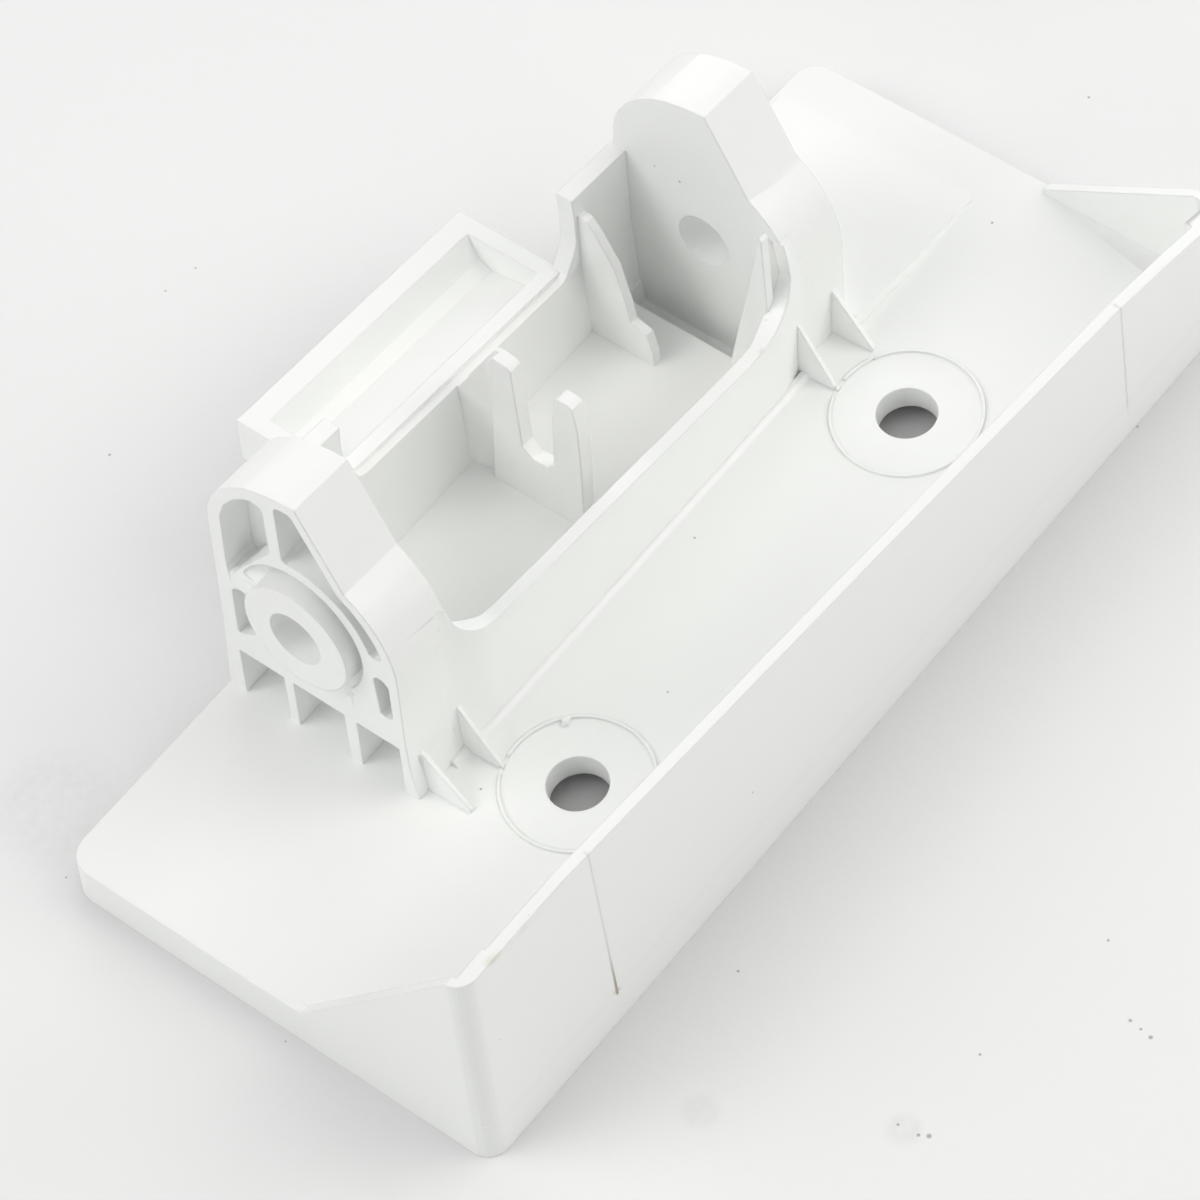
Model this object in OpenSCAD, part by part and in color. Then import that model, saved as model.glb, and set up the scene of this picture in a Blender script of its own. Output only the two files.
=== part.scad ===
/* [Base plate] */
// Length of the plate along the mounting face
plate_l = 123.4; // [121:0.2:128]
// Width of the plate from the front face to the back edge
plate_w = 55.5; // [54.5:0.5:57]
// Height of the plate's edge
plate_h = 4.8; // [4.6:0.1:5.6]
// Thickness of the plate's skin above the hollow underside
plate_skin = 2; // [1.8:0.1:2.4]
// Radius of the back corners
back_corner_r = 3; // [1:0.5:4]
// Radius of the front corners, which run up the front wall
front_corner_r = 2.4; // [1.6:0.2:3]

/* [Screw holes] */
// Radius of each screw hole
screw_r = 3.25; // [2.8:0.05:3.5]
// Distance between the two screw holes
screw_pitch = 54.8; // [53:0.2:56]
// Distance of the first screw hole from the near end
screw_x = 36.3; // [35.5:0.1:37]
// Distance of the screw holes from the front face
screw_y = 18.1; // [17.5:0.1:18.7]
// Height of the boss round each screw hole
boss_h = 3.2; // [2.8:0.1:3.6]
// Radius of the boss and of the raised ring that marks its washer seat
seat_ring_r = 7.8; // [7:0.1:8.2]

/* [Housing] */
// Angle between the plate and the housing that stands on it
lean = 5.3; // [4.8:0.1:5.6]
// Height of the front wall's rim over the near end of the plate
front_rim_z = 24.9; // [22:0.1:27]
// Thickness of the front wall at its rim
front_wall_t = 1.3; // [1.1:0.1:1.6]
// Thickness of the two end gussets
end_wall_t = 1.2; // [1:0.1:1.6]
// Distance of the end gussets' feet from the front face
end_gusset_y = 24; // [20:0.5:25]
// Height of the box walls' rim
box_rim_z = 17.4; // [16.5:0.1:18.5]
// Height of the raised ends of the back wall
back_rim_z = 27.8; // [26:0.1:29]
// Thickness of the box's front wall
box_wall_t = 1.6; // [1.4:0.1:1.8]

/* [Towers] */
// Width of each tower along the axle
tower_w = 8; // [7.5:0.1:8.5]
// Distance between the towers' inner faces
tower_gap = 55.4; // [54:0.2:56]
// Radius of the axle bore
axle_r = 3.25; // [2.8:0.05:3.5]
// Height of the axle over the near end of the plate
axle_z = 20.2; // [19.8:0.1:20.6]
// Distance of the axle from the front face
axle_y = 42.95; // [42.7:0.05:43.2]
// Depth of the pockets in the towers' outer faces
pocket_d = 3.9; // [3:0.1:4.4]

/* [Tray] */
// Length of the tray behind the back wall
tray_l = 35.6; // [30:0.2:36]
// Overhang of the tray behind the back wall
tray_w = 12.4; // [10:0.2:14]
// Outer height of the tray
tray_h = 6; // [5.6:0.1:7]

/* [Hidden] */

white = [0.93, 0.94, 0.92];

// The housing is drawn square to its own draw direction. Its x axis starts
// at the near end, y at the front face and z at the plate's top there.
// The plate's top rises along it at the angle lean.
rise = tan(lean);
mid_x = plate_l * cos(lean) / 2;
far_x = 2 * mid_x;
near_in = mid_x - tower_gap / 2;
far_in = mid_x + tower_gap / 2;
near_out = near_in - tower_w;
low = -12;
high = 60;
bite = 0.4;

hub_r = 6.6;
hub_out = 1.45;
channel_r = 7.9;
ridge_r = 9.3;
shoulder_r = 12;
crown_r = 18.3;
back_arc_r = 9.3;
skin_t = 1.25;
web_z = 9.3;
room = 300;

tower_front_y = axle_y - 11.75;
// The front face leans back by the draft, and it runs a little out of
// square to the far end
hinge_z = -2;
front_rim_y = 1;
front_foot_t = 2.6;
front_slew = 0.66;
draft = atan(front_rim_y / (front_rim_z - hinge_z));

back_in = 52.8;
back_out = 54.9;
front_in = 31.6;
front_out = 30;

// Height of the plate's top in the housing's frame
function floor_z(x) = x * rise;
// Points of an arc in a plane, from angle a0 to a1
function arc(cx, cy, r, a0, a1, n) =
    [for (i = [0:n]) let (a = a0 + (a1 - a0) * i / n) [cx + r * cos(a), cy + r * sin(a)]];

// Puts children drawn in the housing's frame onto the plate
module housing_frame() {
    translate([0, 0, plate_h]) rotate([0, lean, 0]) children();
}

// A profile of (y, z) points, as thick as t along x from x
module along_x(x, t) {
    translate([x, 0, 0]) rotate([90, 0, 90]) linear_extrude(t) children();
}

// A profile of (x, z) points, from y to y + t
module along_y(y, t) {
    translate([0, y + t, 0]) rotate([90, 0, 0]) linear_extrude(t) children();
}

module mirrored_x() {
    children();
    translate([2 * mid_x, 0, 0]) mirror([1, 0, 0]) children();
}

// Outline of plate and front wall, seen along the draw direction
module footprint() {
    rf = front_corner_r;
    rb = back_corner_r;
    polygon(concat(
        arc(rf, rf, rf, 180, 270, 8),
        arc(far_x - rf, rf - front_slew, rf, 270, 360, 8),
        arc(far_x - rb, plate_w - rb, rb, 0, 90, 6),
        arc(rb, plate_w - rb, rb, 90, 180, 6)));
}

// Body on that outline, with the draft of the front face
module drawn_body() {
    split_y = 30;
    intersection() {
        translate([0, 0, hinge_z]) rotate([-draft, 0, 0])
            translate([0, 0, low]) linear_extrude(high) footprint();
        translate([mid_x - room / 2, split_y - room, -room / 2]) cube(room);
    }
    intersection() {
        translate([0, 0, low]) linear_extrude(high) footprint();
        translate([mid_x - room / 2, split_y, -room / 2]) cube(room);
    }
}

// The plate: a slab whose edge follows the draw direction, with a skirt
// round a hollow underside and a trench along each tower's inner face
module base_plate() {
    color(white) difference() {
        intersection() {
            housing_frame() drawn_body();
            translate([-20, -20, 0]) cube([plate_l + 40, plate_w + 40, plate_h]);
        }
        under_hollow();
        housing_frame() mirrored_x() trench();
    }
}

// Hollow cells of the underside. Solid strips carry the towers, a rib runs
// midway between the screws, and a boss stands round each screw hole
module under_hollow() {
    strip = 12;
    skirt = 1.6;
    rib = 1.6;
    boss_r = seat_ring_r;
    datum_x = screw_x + screw_pitch / 2;
    x0 = near_out - 1;
    x1 = 2 * mid_x - x0;
    cells = [
        [skirt + 0.6, x0],
        [x0 + strip, datum_x - rib / 2],
        [datum_x + rib / 2, x1 - strip],
        [x1, 2 * mid_x - skirt]];
    difference() {
        for (c = cells)
            translate([c[0], skirt, -1]) cube([c[1] - c[0], plate_w - 2 * skirt, plate_h - plate_skin + 1]);
        for (x = [screw_x, screw_x + screw_pitch])
            translate([x, screw_y, plate_h - boss_h]) cylinder(r = boss_r, h = plate_h, $fn = 64);
    }
    for (x = [screw_x, screw_x + screw_pitch])
        translate([x, screw_y, -1]) cylinder(r = boss_r, h = plate_h - boss_h + 1, $fn = 64);
}

// Narrow trench in the box's floor beside the far tower
module trench() {
    trench_w = 2.8;
    trench_d = 3;
    x0 = far_in - trench_w;
    along_y(front_in + 0.1, back_in - front_in - 1) polygon([
        [x0, floor_z(x0) - trench_d], [far_in, floor_z(far_in) - trench_d], [far_in, high], [x0, high]]);
}

module screw_holes() {
    for (x = [screw_x, screw_x + screw_pitch])
        translate([x, screw_y, -1]) cylinder(r = screw_r, h = plate_h + 4, $fn = 64);
}

// Fine raised ring round each washer seat
module seat_rings() {
    ring_w = 0.4;
    ring_h = 0.25;
    color(white) for (x = [screw_x, screw_x + screw_pitch])
        translate([x, screw_y, plate_h - bite]) difference() {
            cylinder(r = seat_ring_r + ring_w, h = ring_h + bite, $fn = 72);
            translate([0, 0, -1]) cylinder(r = seat_ring_r, h = 4, $fn = 72);
        }
}

// Front wall and end gussets: the shell of the drawn body under a skyline
module front_shell() {
    color(white) housing_frame() intersection() {
        difference() {
            drawn_body();
            translate([end_wall_t, front_foot_t, 2 * low]) cube([far_x - 2 * end_wall_t, plate_w, 2 * high]);
        }
        along_y(-5, plate_w) front_skyline();
        union() {
            end_gusset(0, end_gusset_y, 0.2, 4.8);
            end_gusset(far_x, end_gusset_y - 0.7, 0.4, 0.1);
            rotate([0, 0, -atan(front_slew / far_x)]) along_x(-5, far_x + 10) front_section();
        }
    }
}

// Rim line of the front wall, a little lower towards both ends
module front_skyline() {
    z = front_rim_z;
    polygon([
        [-5, low], [-5, z - 2.2], [0, z - 1.7], [4.3, z - 1.1], [8.7, z - 0.7], [15, z - 0.1],
        [mid_x, z + 0.1], [far_x - 20, z - 0.1], [far_x - 11, z - 0.8], [far_x - 5, z - 1.5],
        [far_x, z - 2.2], [far_x + 5, z - 2.8], [far_x + 5, low]]);
}

// Section of the front wall, with draft on its inner face
module front_section() {
    polygon([
        [-5, low], [-5, high], [front_rim_y + front_wall_t, high],
        [front_rim_y + front_wall_t, front_rim_z], [front_foot_t, 0], [front_foot_t, low]]);
}

// One end gusset at x. Its slope ends foot_h above the plate at foot_y, and
// a low tail runs on from there
module end_gusset(x, foot_y, foot_h, tail_l) {
    z = floor_z(x);
    tail_y = foot_y + tail_l;
    along_x(x - 5, 10) polygon([
        [-5, low], [-5, high], [front_rim_y, front_rim_z], [front_rim_y + front_wall_t, front_rim_z - 0.8],
        [foot_y, z + foot_h], [tail_y, z], [tail_y + 0.4, z - 1], [tail_y + 0.4, low]]);
}

// Side view of a tower: foot, shoulder round the axle, slope, crown and back
module tower_profile() {
    back_y = axle_y + 11.5;
    crown = arc(axle_y - 1.5, axle_z + 1, crown_r, 67, 89, 4);
    shoulder = arc(axle_y, axle_z, shoulder_r, 122, 184, 10);
    polygon(concat(
        [[back_y + 1, low], [back_y + 0.9, 3], [back_y + 0.3, axle_z - 7], [back_y, axle_z + 4]],
        arc(back_y - 9.4, axle_z + 9.1, back_arc_r, 0, 63, 7),
        crown,
        shoulder,
        [[axle_y - 11.9, 10.5], [axle_y - 12.1, 6.7], [axle_y - 12.8, 3], [axle_y - 13.1, 0], [axle_y - 13.1, low]]));
}

// Recesses in a tower's outer face, as the side view shows them
module tower_recesses() {
    y = axle_y;
    z = axle_z;
    rib_y = y + 1.7;
    // the tall pocket behind the upright rib
    rounded(0.5) intersection() {
        tall_pocket(rib_y + 1.6);
        translate([y, z]) square(13);
    }
    rounded(1) difference() {
        tall_pocket(rib_y + 1.6);
        square([90, z + 10]);
    }
    // the pocket that runs from the crown down round the shoulder
    rounded(0.5) intersection() {
        difference() {
            offset(delta = -skin_t) tower_profile();
            ridge();
            translate([rib_y, 0]) square([20, 60]);
        }
        polygon([[y, z], [y - 20, z + 5], [y - 20, z + 30], [y + 10, z + 30], [rib_y, z + 8]]);
    }
    // the two small pockets beside the hub
    rounded(0.5) difference() {
        polygon([[y + 9.9, z - 8.2], [y + 9.7, z - 0.6], [y + 8.1, z + 0.2], [y + 7, z - 0.4], [y + 7.2, z - 6.3]]);
        translate([y, z]) circle(r = 7.9, $fn = 64);
    }
    rounded(0.5)
        polygon([[y - 8.7, z - 1], [y - 9.6, z - 0.4], [y - 10.7, z - 1.2], [y - 10.7, z - 6.6], [y - 9.1, z - 6.8]]);
    // the channel between hub and ridge
    intersection() {
        difference() {
            translate([y + 0.4, z + 0.15]) circle(r = channel_r, $fn = 64);
            translate([y, z]) circle(r = hub_r, $fn = 64);
        }
        polygon([[y, z], [y + 20, z + 9], [y + 20, z + 20], [y - 20, z + 20], [y - 20, z - 20]]);
    }
}

// Shape whose corners are rounded both ways
module rounded(r) {
    offset(r = r) offset(delta = -r) children();
}

// Round ridge that stands between the channel and the pockets
module ridge() {
    translate([axle_y + 0.35, axle_z + 0.1]) circle(r = ridge_r, $fn = 64);
}

module tall_pocket(rib_y) {
    y = axle_y;
    z = axle_z;
    polygon([
        [rib_y, z + 9.6], [y + 9.4, z + 1.9], [y + 9.9, z + 2.1], [y + 9.6, z + 10.8], [y + 8.7, z + 13.2],
        [y + 7.2, z + 15], [y + 5.8, z + 16.1], [y + 4.3, z + 16.7], [rib_y, z + 16.9]]);
}

// Arched openings between the tower's legs
module leg_openings() {
    for (span = [[-10.95, -5.35], [-3.75, 3.0], [4.25, 10.2]])
        translate([axle_y + span[0], low]) square([span[1] - span[0], web_z - low]);
}

// One tower, with its recessed face towards the near end
module tower() {
    leg_d = pocket_d + 0.6;
    difference() {
        union() {
            along_x(near_out, tower_w) tower_profile();
            translate([near_out - hub_out, axle_y, axle_z]) rotate([0, 90, 0])
                cylinder(r = hub_r, h = tower_w, $fn = 72);
        }
        translate([near_out - 5, axle_y, axle_z]) rotate([0, 90, 0])
            cylinder(r = axle_r, h = tower_w + 10, $fn = 64);
        along_x(near_out - 3, 3 + pocket_d) tower_recesses();
        intersection() {
            along_x(near_out - 3, 3 + leg_d) leg_openings();
            plate_side();
        }
    }
}

// Everything above the plate's top plane
module plate_side() {
    rotate([0, -lean, 0]) translate([-room / 2, -room / 2, 0]) cube(room);
}

module towers() {
    color(white) housing_frame() {
        tower();
        translate([2 * mid_x, 0, 0]) mirror([1, 0, 0]) tower();
    }
}

// Low front wall of the box between the towers
module box_front() {
    sweep_near = 6.6;
    sweep_far = 9;
    color(white) housing_frame() {
        difference() {
            along_x(near_in - bite, tower_gap + 2 * bite) polygon([
                [front_out - 0.2, low], [front_out - 0.2, 4], [front_out + 0.1, box_rim_z],
                [front_in, box_rim_z], [front_in + 0.2, 4], [front_in + 0.2, low]]);
            mirrored_x() translate([near_in - 0.5, 0, low]) linear_extrude(high)
                polygon([[0, 20], [0, tower_front_y], [5, front_out + 0.1], [5, 20]]);
        }
        box_front_sweep(near_in, sweep_near, 1);
        box_front_sweep(far_in, sweep_far, -1);
    }
}

// Concave sweep of the rim up into a tower, in the shoulder's skin
module box_front_sweep(x, r, side) {
    intersection() {
        along_y(20, 20) difference() {
            translate([side > 0 ? x - bite : x - r, box_rim_z - 1]) square([r + bite, r + 1]);
            translate([x + side * r, box_rim_z + r]) circle(r = r, $fn = 64);
        }
        along_x(x - 20, 40) difference() {
            tower_profile();
            offset(delta = -box_wall_t + 0.1) tower_profile();
            translate([axle_y, low]) square([40, high]);
        }
    }
}

// Back wall of the box, raised next to the towers
module box_back() {
    color(white) housing_frame() intersection() {
        along_x(near_in - bite, tower_gap + 2 * bite) polygon([
            [back_in - 0.9, low], [back_in - 0.8, 4], [back_in, box_rim_z], [back_in, high],
            [back_out, high], [back_out, box_rim_z], [back_out + 0.6, box_rim_z - 0.2], [back_out + 0.6, low]]);
        along_y(40, 30) back_skyline();
    }
}

module back_skyline() {
    translate([mid_x, 0]) {
        mirror([1, 0]) back_rise(18.1, back_rim_z - 0.6);
        back_rise(19, back_rim_z);
    }
}

// One raised end of the back wall, from the middle of the low part outwards
module back_rise(from_x, rim_z) {
    half = tower_gap / 2;
    sweep_r = 3.6;
    polygon(concat(
        [[half + 2, low], [half + 2, rim_z], [from_x - 0.2, rim_z], [from_x, rim_z - 2.4]],
        arc(from_x - sweep_r, box_rim_z + 4.6, sweep_r, 10, -30, 3),
        arc(from_x - 3.2, box_rim_z + 2, 2, -50, -90, 2),
        [[0, box_rim_z], [0, low]]));
}

// Slotted plate that stands across the box, tied to the back wall by a web
module fork() {
    t = 1.7;
    x = mid_x - 0.8;
    color(white) housing_frame() {
        along_x(x, t) rounded(0.5) polygon([
            [49.1, low], [49, 5.7], [48.3, 15.4], [47.7, 25.4], [45.1, 25],
            [44.5, 13.6], [43.3, 12.4], [41.4, 12.4], [40.3, 13.5], [39.9, 21], [39.3, 24.7],
            [37.1, 24.7], [36.6, 21.3], [36.6, 14.1], [36.9, 7], [37.6, low]]);
        intersection() {
            translate([0, 0, low]) linear_extrude(high)
                polygon([[x, 54], [x, 52.4], [x + 0.8, 49.4], [x + 1.2, 47], [x + t, 47], [x + t, 54]]);
            along_x(x, t) polygon([[47, low], [47, 25.2], [48, 25.2], [52.6, box_rim_z], [54, box_rim_z], [54, low]]);
        }
    }
}

// Gusset ribs inside the box, one on the back wall and one on the front wall
module inner_ribs() {
    t = 1.1;
    back_rib_x = 81.5;
    front_rib_x = 86.3;
    color(white) housing_frame() {
        along_x(back_rib_x - t / 2, t) polygon([
            [53.5, low], [53.5, 25], [52.2, 25], [51.6, 24.8], [50.7, 23.7], [48.3, 19.6], [47, 14.5],
            [46.7, 12.5], [44.6, 11.8], [43.9, 9.4], [43.6, low]]);
        along_x(front_rib_x - t / 2, t) polygon([
            [31, low], [31.6, 17.2], [32, 18.4], [32.3, 29.9], [32.7, 30.3],
            [33.6, 25.4], [36.7, 11.4], [37.4, 8], [37.8, low]]);
    }
}

// Thin triangular gussets at the foot of the towers' front
module foot_gussets() {
    t = 1.1;
    // place along x, reach forward of the tower, height over the plate
    for (g = [[27.7, 6.4, 5.4], [33.5, 5.4, 6.3], [89.2, 5, 7.5], [95.3, 5.4, 6.3]])
        color(white) housing_frame() along_x(g[0] - t / 2, t) polygon([
            [tower_front_y + 1, low], [tower_front_y + 1, floor_z(g[0]) + g[2]],
            [tower_front_y, floor_z(g[0]) + g[2]],
            [tower_front_y - g[1], floor_z(g[0]) + 0.3], [tower_front_y - g[1] - 0.1, low]]);
}

// Level pad behind a low step, which the rising plate swallows
module step_pad() {
    top = 10.87;
    start_x = far_in + tower_w - 1;
    end_x = top / rise;
    color(white) housing_frame() intersection() {
        translate([0, 0, low]) linear_extrude(top - low)
            polygon([[start_x, 29.1], [end_x, 28.5], [end_x, plate_w - 0.5], [start_x, plate_w - 0.5]]);
        along_x(far_in, 40) polygon([[28.4, low], [28.4, 8], [29.1, top], [plate_w, top], [plate_w, low]]);
    }
}

// Shallow rimmed tray behind the back wall
module tray() {
    rim = 2;
    deep = 3.8;
    x0 = mid_x - tray_l / 2 - 0.2;
    top = box_rim_z + 0.5;
    y0 = back_out + 0.7;
    y1 = y0 + tray_w - 0.1;
    color(white) housing_frame() difference() {
        translate([x0, back_in + 1, top - tray_h]) cube([tray_l, y1 - back_in - 1, tray_h]);
        along_x(x0 + rim, tray_l - 2 * rim) rounded(2) polygon([
            [y0, top + 4], [y0, top - deep + 0.9], [y0 + 5.4, top - deep],
            [y1 - 4.4, top - deep], [y1 - 2.8, top], [y1 - 1.1, top + 4]]);
    }
}

module handle_cap() {
    translate([-screw_x - screw_pitch / 2, -screw_y, 0]) difference() {
        intersection() {
            union() {
                base_plate();
                seat_rings();
                front_shell();
                towers();
                box_front();
                box_back();
                fork();
                inner_ribs();
                foot_gussets();
                step_pad();
                tray();
            }
            translate([-20, -20, 0]) cube([plate_l + 40, 120, 80]);
        }
        screw_holes();
    }
}

handle_cap();
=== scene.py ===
# Door handle cap, one injection moulding in satin white plastic, on a pale floor
import math

import bmesh
import bpy
from mathutils import Matrix, Vector


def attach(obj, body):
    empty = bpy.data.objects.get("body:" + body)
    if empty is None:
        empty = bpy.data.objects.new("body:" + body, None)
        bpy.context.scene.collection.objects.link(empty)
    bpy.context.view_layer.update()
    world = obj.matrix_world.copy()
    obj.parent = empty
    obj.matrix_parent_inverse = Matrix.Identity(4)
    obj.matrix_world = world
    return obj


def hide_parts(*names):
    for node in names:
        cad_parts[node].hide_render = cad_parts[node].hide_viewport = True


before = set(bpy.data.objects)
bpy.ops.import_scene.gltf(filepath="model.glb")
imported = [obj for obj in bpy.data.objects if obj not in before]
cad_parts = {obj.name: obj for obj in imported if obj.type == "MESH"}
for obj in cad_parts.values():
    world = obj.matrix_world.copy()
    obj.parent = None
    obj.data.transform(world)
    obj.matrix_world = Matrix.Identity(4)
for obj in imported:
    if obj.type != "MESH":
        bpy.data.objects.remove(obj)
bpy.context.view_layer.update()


# Sizes are in millimetres and become metres only here
def mm(*values):
    if len(values) == 1:
        return values[0] / 1000
    return tuple(v / 1000 for v in values)


# Where the camera stood: its place, its right and its up direction, and its lens
CAMERA_PLACE = (-226.4, -234.349, 475.583)
CAMERA_RIGHT = (0.619816, -0.775614, -0.119381)
CAMERA_UP = (0.687173, 0.462965, 0.559872)
CAMERA_LENS = 169.013

LAMP_DISTANCE = 1.2

# The housing leans along the plate. Its own x axis starts at the near end, its y axis
# at the front face and its z axis at the plate's top there
LEAN = math.radians(5.3)
HOUSING_PLACE = (-63.7, -18.1, 4.8)

# Sizes in the housing's frame
AXLE = (42.95, 20.2)
SHOULDER_R = 12
NEAR_TOWER_OUT = 25.74
NEAR_TOWER_IN = 33.74
FAR_TOWER_IN = 89.14
BOX_RIM = 17.4
BOX_WALL = 1.45
BOX_WALL_BACK = 31.65
SWEEP_TOP = 26
SWEEP_FOOT = 15.8
PLATE_RISE = math.tan(LEAN)

# Foot gussets: place along x, reach forward of the tower, height over the plate
FOOT_GUSSETS = ((27.7, 6.4, 5.4), (33.5, 5.4, 6.3), (89.2, 5, 7.5), (95.3, 5.4, 6.3))
# The front wall's rib, which the cut behind the far sweep leaves standing
RIB = (85.72, 86.88)

# Eased edges of the moulding, and the angle from which an edge counts as one
EDGE_RADIUS = 0.26
EDGE_ANGLE = math.radians(10)


class Sock:
    """A socket of a shader tree that Python's own operators work on."""

    def __init__(self, tree, out):
        self.tree = tree
        self.out = out

    def math(self, operation, *others):
        node = self.tree.nodes.new("ShaderNodeMath")
        node.operation = operation
        for socket, value in zip(node.inputs, (self,) + others):
            plug(self.tree, socket, value)
        return Sock(self.tree, node.outputs[0])

    def swapped(self, operation, other):
        node = self.tree.nodes.new("ShaderNodeMath")
        node.operation = operation
        plug(self.tree, node.inputs[0], other)
        plug(self.tree, node.inputs[1], self)
        return Sock(self.tree, node.outputs[0])

    def __add__(self, other):
        return self.math("ADD", other)

    __radd__ = __add__

    def __mul__(self, other):
        return self.math("MULTIPLY", other)

    __rmul__ = __mul__

    def __sub__(self, other):
        return self.math("SUBTRACT", other)

    def __rsub__(self, other):
        return self.swapped("SUBTRACT", other)

    def __abs__(self):
        return self.math("ABSOLUTE")

    def __or__(self, other):
        return self.math("MAXIMUM", other)


def plug(tree, socket, value):
    if isinstance(value, Sock):
        tree.links.new(value.out, socket)
    else:
        socket.default_value = value


class Finish:
    """A material under construction."""

    def __init__(self, name):
        self.material = bpy.data.materials.new(name)
        self.material.use_nodes = True
        self.tree = self.material.node_tree
        self.shader = self.tree.nodes["Principled BSDF"]

    def node(self, kind, settings=None, out=0, **values):
        node = self.tree.nodes.new(kind)
        for name, value in (settings or {}).items():
            setattr(node, name, value)
        for name, value in values.items():
            plug(self.tree, node.inputs[name.replace("_", " ")], value)
        return Sock(self.tree, node.outputs[out])

    # Place on the object, as a vector in metres
    def place(self):
        return self.node("ShaderNodeTexCoord", out=3)

    # The same place as three numbers in millimetres
    def split(self, place):
        node = self.tree.nodes.new("ShaderNodeSeparateXYZ")
        plug(self.tree, node.inputs[0], place)
        return [Sock(self.tree, out) * 1000 for out in node.outputs]

    # 1 up to near, 0 from far on, soft between them
    def fade(self, value, near, far):
        return self.node(
            "ShaderNodeMapRange",
            {"interpolation_type": "SMOOTHSTEP"},
            Value=value,
            From_Min=near,
            From_Max=far,
            To_Min=1.0,
            To_Max=0.0,
        )

    def noise(self, place, scale, detail=2.0):
        return self.node("ShaderNodeTexNoise", Vector=place, Scale=scale, Detail=detail)

    # Soft dots, each at (x, y, z) and of radius r in millimetres
    def dots(self, place, spots):
        total = None
        for x, y, z, r in spots:
            node = self.tree.nodes.new("ShaderNodeVectorMath")
            node.operation = "DISTANCE"
            plug(self.tree, node.inputs[0], place)
            node.inputs[1].default_value = mm(x, y, z)
            dot = self.fade(Sock(self.tree, node.outputs["Value"]), mm(r * 0.4), mm(r))
            total = dot if total is None else total | dot
        return total

    def mix(self, factor, a, b):
        node = self.tree.nodes.new("ShaderNodeMix")
        node.data_type = "RGBA"
        plug(self.tree, node.inputs[0], factor)
        plug(self.tree, node.inputs[6], a)
        plug(self.tree, node.inputs[7], b)
        return Sock(self.tree, node.outputs[2])

    def set(self, **values):
        for name, value in values.items():
            plug(self.tree, self.shader.inputs[name.replace("_", " ")], value)


def make_camera():
    data = bpy.data.cameras.new("camera")
    data.lens = CAMERA_LENS
    data.sensor_width = 36
    data.sensor_fit = "HORIZONTAL"
    data.clip_start = 0.01
    data.clip_end = 20
    camera = bpy.data.objects.new("camera", data)
    right = Vector(CAMERA_RIGHT).normalized()
    up = Vector(CAMERA_UP)
    back = right.cross(up).normalized()
    up = back.cross(right)
    turn = Matrix((right, up, back)).transposed().to_4x4()
    camera.matrix_world = Matrix.Translation(mm(*CAMERA_PLACE)) @ turn
    bpy.context.scene.collection.objects.link(camera)
    bpy.context.scene.camera = camera


# Floor: pale board with a little grime, and painted shade close to and under the part
def pale_board():
    specks = [
        (41.9, -18.6, 0, 0.2), (74.7, 11.3, 0, 0.2), (2.7, 78.5, 0, 0.15), (-21.4, 69.8, 0, 0.2),
        (-1.5, 79.2, 0, 0.15), (-63.5, 38.5, 0, 0.15), (-65.2, 7.6, 0, 0.15), (-10, -52.2, 0, 0.2),
        (-27.4, -49.5, 0, 0.2), (-33.4, -24.4, 0, 0.2), (-37.4, -50.8, 0, 0.35), (-37.9, -49.9, 0, 0.25),
        (-38.1, -47.6, 0, 0.2), (-16.1, -59.2, 0, 0.25), (-16.3, -60.6, 0, 0.2), (-16.5, -61.9, 0, 0.3),
    ]
    smudges = [(-47.9, -30.9, 0, 2.6), (-38.2, -48.4, 0, 2.4), (-58, 45, 0, 9)]
    finish = Finish("pale_floor")
    place = finish.place()
    # painted shade: an ambient occlusion reading darkens the floor's colour close to and under the part
    open_sky = finish.node("ShaderNodeAmbientOcclusion", {"samples": 8}, out=1, Distance=mm(30))
    painted_contact_shade = finish.fade(open_sky, 0.05, 1.0)
    cloud = finish.noise(place, 9.0)
    grime = finish.dots(place, smudges) * finish.noise(place, 900.0) * 0.35
    tone = finish.mix(cloud, (0.88, 0.88, 0.883, 1), (0.896, 0.896, 0.896, 1))
    # painted shade mixed into the floor's colour
    tone = finish.mix(painted_contact_shade * 0.72, tone, (0.4, 0.4, 0.405, 1))
    tone = finish.mix(grime, tone, (0.6, 0.6, 0.6, 1))
    tone = finish.mix(finish.dots(place, specks) * 0.7, tone, (0.25, 0.25, 0.26, 1))
    finish.set(Base_Color=tone, Roughness=0.8)
    return finish.material


def make_floor():
    mesh = bpy.data.meshes.new("floor")
    half = 3
    corners = [(-half, -half, 0), (half, -half, 0), (half, half, 0), (-half, half, 0)]
    mesh.from_pydata(corners, [], [(0, 1, 2, 3)])
    mesh.materials.append(pale_board())
    floor = bpy.data.objects.new("floor", mesh)
    bpy.context.scene.collection.objects.link(floor)


def soft_lamp(name, azimuth, height, power, colour=(1, 1, 1)):
    data = bpy.data.lights.new(name, "AREA")
    data.shape = "DISK"
    data.size = 0.8
    data.energy = power
    data.color = colour
    lamp = bpy.data.objects.new(name, data)
    turn = math.radians(azimuth)
    tilt = math.radians(height)
    away = Vector((math.cos(turn) * math.cos(tilt), math.sin(turn) * math.cos(tilt), math.sin(tilt)))
    lamp.location = away * LAMP_DISTANCE
    lamp.rotation_euler = (-away).to_track_quat("-Z", "Y").to_euler()
    bpy.context.scene.collection.objects.link(lamp)


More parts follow.
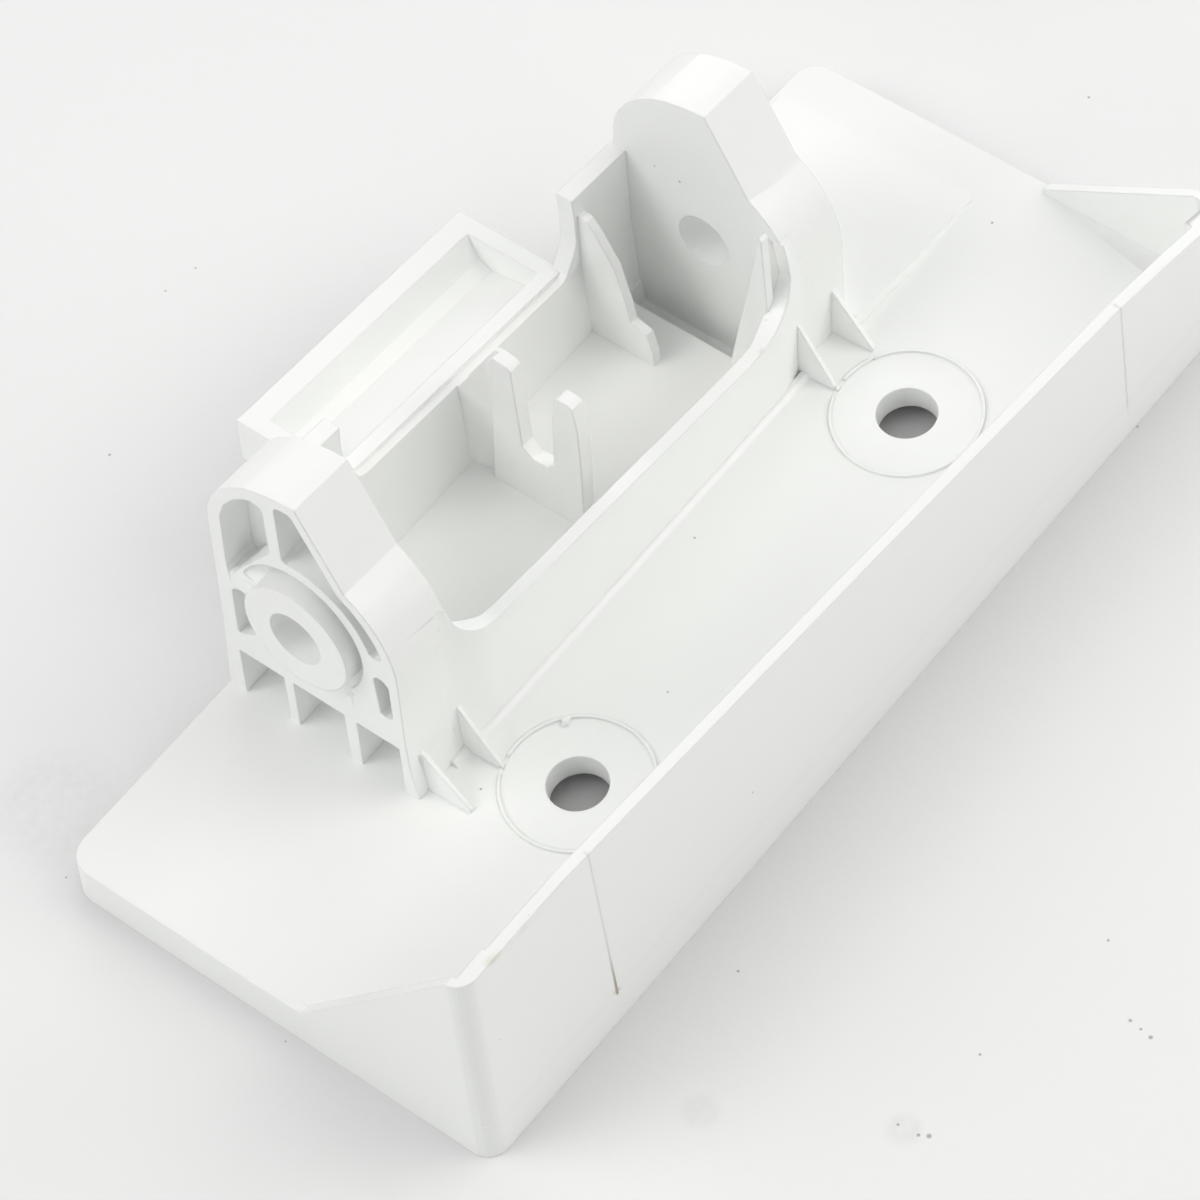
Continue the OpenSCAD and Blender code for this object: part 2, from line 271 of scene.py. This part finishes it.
# Pale surroundings for the camera and for gloss, a dim fill for everything else
def surroundings():
    world = bpy.data.worlds.new("studio")
    world.use_nodes = True
    tree = world.node_tree
    fill = tree.nodes["Background"]
    fill.inputs["Color"].default_value = (1, 1, 1, 1)
    fill.inputs["Strength"].default_value = 0.09
    seen = tree.nodes.new("ShaderNodeBackground")
    seen.inputs["Color"].default_value = (0.88, 0.88, 0.885, 1)
    seen.inputs["Strength"].default_value = 1
    rays = tree.nodes.new("ShaderNodeLightPath")
    camera_ray = Sock(tree, rays.outputs["Is Camera Ray"])
    gloss_ray = Sock(tree, rays.outputs["Is Glossy Ray"])
    glass_ray = Sock(tree, rays.outputs["Is Transmission Ray"])
    choose = tree.nodes.new("ShaderNodeMixShader")
    plug(tree, choose.inputs[0], camera_ray | gloss_ray | glass_ray)
    tree.links.new(fill.outputs[0], choose.inputs[1])
    tree.links.new(seen.outputs[0], choose.inputs[2])
    tree.links.new(choose.outputs[0], tree.nodes["World Output"].inputs["Surface"])
    bpy.context.scene.world = world


# A ring of soft lamps: low ones behind the part, high ones to its left and right
def light_studio():
    surroundings()
    soft_lamp("low_far", 0, 15, 2.6, (0.9, 0.93, 1))
    soft_lamp("low_far_left", 45, 15, 3.8, (0.98, 0.99, 1))
    soft_lamp("low_right", 315, 15, 2.1)
    soft_lamp("left", 135, 40, 4.6, (1, 0.98, 0.97))
    soft_lamp("low_near", 180, 15, 1.9, (0.95, 0.99, 1))
    soft_lamp("near_left", 180, 40, 0.6, (0.95, 0.99, 1))
    soft_lamp("near", 225, 40, 0.5, (0.94, 0.99, 1))
    soft_lamp("near_right", 270, 40, 2.0)
    soft_lamp("right", 315, 40, 3.3, (1, 0.98, 0.92))
    soft_lamp("high_far", 0, 65, 1.85, (0.99, 1, 0.98))
    soft_lamp("high_left", 135, 65, 2.1, (0.99, 1, 0.98))
    soft_lamp("high_right", 315, 65, 0.7)


# The plastic, with the marks of its mould and of use
def white_plastic():
    specks = [
        (9.26, 47.7, 12.2, 0.2), (8.85, 41.2, 12.2, 0.2), (27.6, 27.6, 24, 0.2), (27.6, 30.9, 24.3, 0.15),
        (52.3, 7.4, 4.8, 0.2), (2.7, 8.7, 4.8, 0.18), (-33.4, 7.7, 4.8, 0.18), (-13.7, -0.7, 4.8, 0.15),
        (-58.8, -17.7, 16.4, 0.18), (-55.3, -17.9, 11.2, 0.15), (-20.9, -17.9, 10.7, 0.15),
        (-51.2, -16.9, 27.9, 0.25),
    ]
    finish = Finish("satin_white_plastic")
    place = finish.place()
    x, y, z = finish.split(place)
    along = x - HOUSING_PLACE[0]
    above = z - HOUSING_PLACE[2]
    hx = along * math.cos(LEAN) - above * math.sin(LEAN)
    hz = along * math.sin(LEAN) + above * math.cos(LEAN)
    on_front = finish.fade(y, -16.9, -16.5)
    wobble = finish.noise(place, 160.0)

    # witness line of a mould insert near the near end, browner and wider towards its foot
    line = abs(hx - 19.94 + hz * 0.0487 - (wobble - 0.5) * 0.12)
    end = finish.fade(1.25 - hz, 0, 0.25)
    foot = finish.fade(hz, 1.5, 13)
    seam_near = finish.fade(line - foot * 0.05, 0.06, 0.17) * on_front * end
    stain = seam_near * foot * foot
    chip = finish.dots(place, [(-43.9, -17.95, 4.75, 0.55), (-43.5, -17.95, 4.6, 0.4)])

    # witness line of the other insert, near the far end
    far_line = abs(hx - 104.6 + hz * 0.0415 - (wobble - 0.5) * 0.1)
    seam_far = finish.fade(far_line, 0.06, 0.18) * on_front * finish.fade(10 - hz, 0, 3)

    # parting line round the foot of the front face, level with the plate's top
    parting = finish.fade(abs(z - 4.9), 0.15, 0.5) * on_front
    # painted highlight on the parting step at the near corner
    painted_corner_glint = finish.fade(abs(z - 5.1), 0.04, 0.14) * finish.fade(abs(x + 62.6), 0.7, 1.2) * on_front

    # painted highlight where the box's front wall meets the plate
    painted_foot_highlight = finish.fade(abs(y - 11.35) | abs(z - 4.95), 0.15, 0.4) * finish.fade(abs(x), 25.5, 27)

    # rubbed edge at the near corner of the rim
    rub = finish.fade(abs(hz - 24.1), 0.5, 1.1) * finish.fade(hx, 5, 13) * finish.fade(y, -16.9, -16.2)
    rub = rub * finish.fade(0.62 - wobble, 0, 0.16)

    # raised ring round each washer seat
    near_seat = ((x + 27.4) * (x + 27.4) + y * y).math("SQRT")
    far_seat = ((x - 27.4) * (x - 27.4) + y * y).math("SQRT")
    ring = finish.fade(abs(near_seat - 8), 0.1, 0.32) | finish.fade(abs(far_seat - 8), 0.1, 0.32)
    ring = ring * finish.fade(abs(z - 4.9), 0.3, 0.6)

    # slow changes of the white, and the fine grain of the mould
    cloud = finish.noise(place, 45.0)
    tone = finish.mix(cloud, (0.930, 0.939, 0.922, 1), (0.937, 0.943, 0.930, 1))
    tone = finish.mix(parting * 0.35, tone, (0.9, 0.9, 0.84, 1))
    # painted highlights mixed towards white, at the near corner and at the box wall's foot
    tone = finish.mix(painted_corner_glint * 0.8 | painted_foot_highlight * 0.8, tone, (1, 1, 1, 1))
    tone = finish.mix(seam_near * 0.3 | seam_far * 0.4, tone, (0.6, 0.58, 0.52, 1))
    tone = finish.mix(stain * 0.85, tone, (0.34, 0.27, 0.18, 1))
    tone = finish.mix(chip * 0.4, tone, (0.5, 0.42, 0.28, 1))
    tone = finish.mix(rub * 0.5, tone, (0.62, 0.57, 0.42, 1))
    tone = finish.mix(finish.dots(place, specks) * 0.65, tone, (0.2, 0.2, 0.18, 1))
    relief = (
        finish.noise(place, 5200.0, 3.0) * 0.003
        + finish.noise(place, 700.0) * 0.006
        + ring * 0.015
        - (seam_near | seam_far) * 0.05
        - rub * 0.04
    )
    eased = finish.node("ShaderNodeBevel", {"samples": 8}, Radius=mm(EDGE_RADIUS))
    bump = finish.node("ShaderNodeBump", Strength=1.0, Distance=mm(1), Height=relief, Normal=eased)
    finish.set(
        Base_Color=tone,
        Roughness=finish.noise(place, 120.0) * 0.08 + 0.36,
        Normal=bump,
    )
    return finish.material


HOUSING = Matrix.Translation(mm(*HOUSING_PLACE)) @ Matrix.Rotation(LEAN, 4, "Y")


# A closed form through rings of points, given in the housing's frame
def loft(shape, rings):
    laid = [[shape.verts.new(mm(*point)) for point in ring] for ring in rings]
    for a, b in zip(laid, laid[1:]):
        for i in range(len(a)):
            j = (i + 1) % len(a)
            shape.faces.new((a[i], a[j], b[j], b[i]))
    shape.faces.new(laid[0])
    shape.faces.new(laid[-1])


def ease(value):
    value = min(max(value, 0), 1)
    return value * value * (3 - 2 * value)


# Floor of the channel round the hub, which comes up to the face at both ends
def channel_floor(shape):
    rings = []
    for turn in range(16, 237, 5):
        depth = 1.9 * ease((turn - 20) / 34) * ease((228 - turn) / 46) - 0.05
        angle = math.radians(turn)
        ring = []
        for r, x in ((6.1, depth), (8.5, depth), (8.5, 4.4), (6.1, 4.4)):
            y = AXLE[0] + 0.15 + r * math.cos(angle)
            ring.append((NEAR_TOWER_OUT + x, y, AXLE[1] + r * math.sin(angle)))
        rings.append(ring)
    loft(shape, rings)


# Front of a tower, as a distance from the front face at height z
def tower_front(z):
    shin = ((0, 29.85), (3, 30.15), (6.7, 30.85), (10.5, 31.05), (19.36, 30.98))
    if z > shin[-1][0]:
        return AXLE[0] - math.sqrt(SHOULDER_R ** 2 - (z - AXLE[1]) ** 2)
    for (z0, y0), (z1, y1) in zip(shin, shin[1:]):
        if z <= z1:
            return y0 + (y1 - y0) * max(z - z0, 0) / (z1 - z0)


# Skin that carries the low front wall of the box smoothly up into a tower
def rim_sweep(shape, tower_x, reach, side):
    rings = []
    foot = tower_x * PLATE_RISE - 1.5
    for step in range(-3, 15):
        u = step / 14
        x = tower_x + side * u * reach
        rise = reach - math.sqrt(reach ** 2 - (reach * (1 - max(u, 0))) ** 2)
        top = BOX_RIM + rise
        join = ease((u * reach + 1.5) / 6)
        sunk = 0.04 * ease((u * reach - 4.6) / 1.6)
        outer = []
        for level in range(13):
            z = foot + (top - foot) * level / 12
            wall = 29.79 + 0.3 * min(max((z - 4) / 13.4, 0), 1)
            outer.append((x, tower_front(z) * (1 - join) + wall * join + sunk, z))
        back = 32.4 - 0.85 * ease((u - 0.3) / 0.6)
        inner = [(x, max(y + BOX_WALL, back), z) for x, y, z in reversed(outer)]
        rings.append(outer + inner)
    loft(shape, rings)


def near_sweep(shape):
    rim_sweep(shape, NEAR_TOWER_IN, 6.6, 1)


def far_sweep(shape):
    rim_sweep(shape, FAR_TOWER_IN, 9, -1)


# Small fillet where the box's front wall meets the plate
def foot_fillet(shape):
    rings = []
    for x in (NEAR_TOWER_IN - 3, FAR_TOWER_IN + 1):
        z = x * PLATE_RISE
        outline = ((30.3, z - 0.3), (29.3, z - 0.3), (29.3, z), (29.75, z + 0.5), (30.3, z + 0.5))
        rings.append([(x, y, level) for y, level in outline])
    loft(shape, rings)


# A fleck of flash on the near seat ring
def ring_fleck(shape):
    rings = []
    for x, half, top in ((40.5, 0.1, 0.2), (40.9, 0.45, 0.6), (41.4, 0.3, 0.5), (41.8, 0.1, 0.2)):
        z = x * PLATE_RISE
        low = z - 0.3
        near_y = 23.6 - half
        far_y = 23.6 + half
        rings.append([(x, near_y, low), (x, near_y, z + top), (x, far_y, z + top), (x, far_y, low)])
    loft(shape, rings)


# The corners behind the sweeps, which the sweeps replace, clear of the front wall's rib
def sweep_corners(shape):
    near_cut = (NEAR_TOWER_IN + 0.02, NEAR_TOWER_IN + 7.2)
    for cut in (near_cut, (79.6, RIB[0]), (RIB[1], FAR_TOWER_IN - 0.02)):
        rings = []
        for x in cut:
            front = ((x, BOX_WALL_BACK, SWEEP_FOOT), (x, BOX_WALL_BACK, SWEEP_TOP))
            rings.append(front + ((x, 34.5, SWEEP_TOP), (x, 34.5, SWEEP_FOOT)))
        loft(shape, rings)


# What the flanks of the foot gussets lose, so that they narrow towards their ridges
def gusset_flanks(shape):
    for x, reach, height in FOOT_GUSSETS:
        z = x * PLATE_RISE
        wall = tower_front(z + height) - 0.03
        outline = [
            (tower_front(z) - 0.03, z + 0.03, 0.55),
            (wall - reach - 0.5, z + 0.03, 0.25),
            (wall - reach - 0.5, z + 0.9, 0.22),
            (wall, z + height + 0.6, 0.22),
            (tower_front(z + height / 2) - 0.03, z + height / 2, 0.4),
        ]
        for side in (-1, 1):
            near = [(x + side * half, y, level + side * half * PLATE_RISE) for y, level, half in outline]
            far = [(x + side * 1.2, y, level + side * 1.2 * PLATE_RISE) for y, level, half in outline]
            loft(shape, [near, far])


def form(*makers):
    shape = bmesh.new()
    for maker in makers:
        maker(shape)
    bmesh.ops.recalc_face_normals(shape, faces=shape.faces)
    mesh = bpy.data.meshes.new("form")
    shape.to_mesh(mesh)
    shape.free()
    return mesh


def stand(name, mesh):
    thing = bpy.data.objects.new(name, mesh)
    bpy.context.scene.collection.objects.link(thing)
    return thing


def settled(thing):
    graph = bpy.context.evaluated_depsgraph_get()
    mesh = bpy.data.meshes.new_from_object(thing.evaluated_get(graph))
    bpy.data.objects.remove(thing)
    return mesh


# The CAD form as one welded mesh, turned square to the housing
def cad_form(cap):
    shape = bmesh.new()
    shape.from_mesh(cap.data)
    bmesh.ops.remove_doubles(shape, verts=shape.verts, dist=mm(0.001))
    shape.transform(HOUSING.inverted())
    mesh = bpy.data.meshes.new("cad_form")
    shape.to_mesh(mesh)
    shape.free()
    return mesh


# Cuts a form away from a mesh, or joins one to it
def worked(mesh, operation, maker):
    body = stand("body", mesh)
    tool = stand("tool", form(maker))
    step = body.modifiers.new("step", "BOOLEAN")
    step.operation = operation
    step.solver = "EXACT"
    step.object = tool
    mesh = settled(body)
    bpy.data.objects.remove(tool)
    return mesh


# Takes out the slivers that the joins leave
def cleaned(mesh):
    shape = bmesh.new()
    shape.from_mesh(mesh)
    bmesh.ops.remove_doubles(shape, verts=shape.verts, dist=mm(0.001))
    bmesh.ops.dissolve_degenerate(shape, edges=shape.edges, dist=mm(0.001))
    bmesh.ops.triangulate(shape, faces=shape.faces)
    shape.to_mesh(mesh)
    shape.free()


# The moulding: the CAD form with the few forms that only a fine mesh can carry
def moulded_cap(cap):
    mesh = worked(cad_form(cap), "DIFFERENCE", sweep_corners)
    mesh = worked(mesh, "DIFFERENCE", gusset_flanks)
    for maker in (channel_floor, near_sweep, far_sweep, foot_fillet, ring_fleck):
        mesh = worked(mesh, "UNION", maker)
    cleaned(mesh)
    mesh.transform(HOUSING)
    mesh.shade_smooth()
    mesh.set_sharp_from_angle(angle=EDGE_ANGLE)
    piece = stand("moulding", mesh)
    flat = piece.modifiers.new("flat", "WEIGHTED_NORMAL")
    flat.keep_sharp = True
    return stand("moulded_cap", settled(piece))


bpy.context.scene.view_settings.view_transform = "Standard"
make_camera()
make_floor()
light_studio()
plastic = white_plastic()
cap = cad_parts["handle_cap"]
cap.data.materials.clear()
cap.data.materials.append(plastic)
moulding = moulded_cap(cap)
moulding.data.materials.clear()
moulding.data.materials.append(plastic)
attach(moulding, "root")
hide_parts("handle_cap")
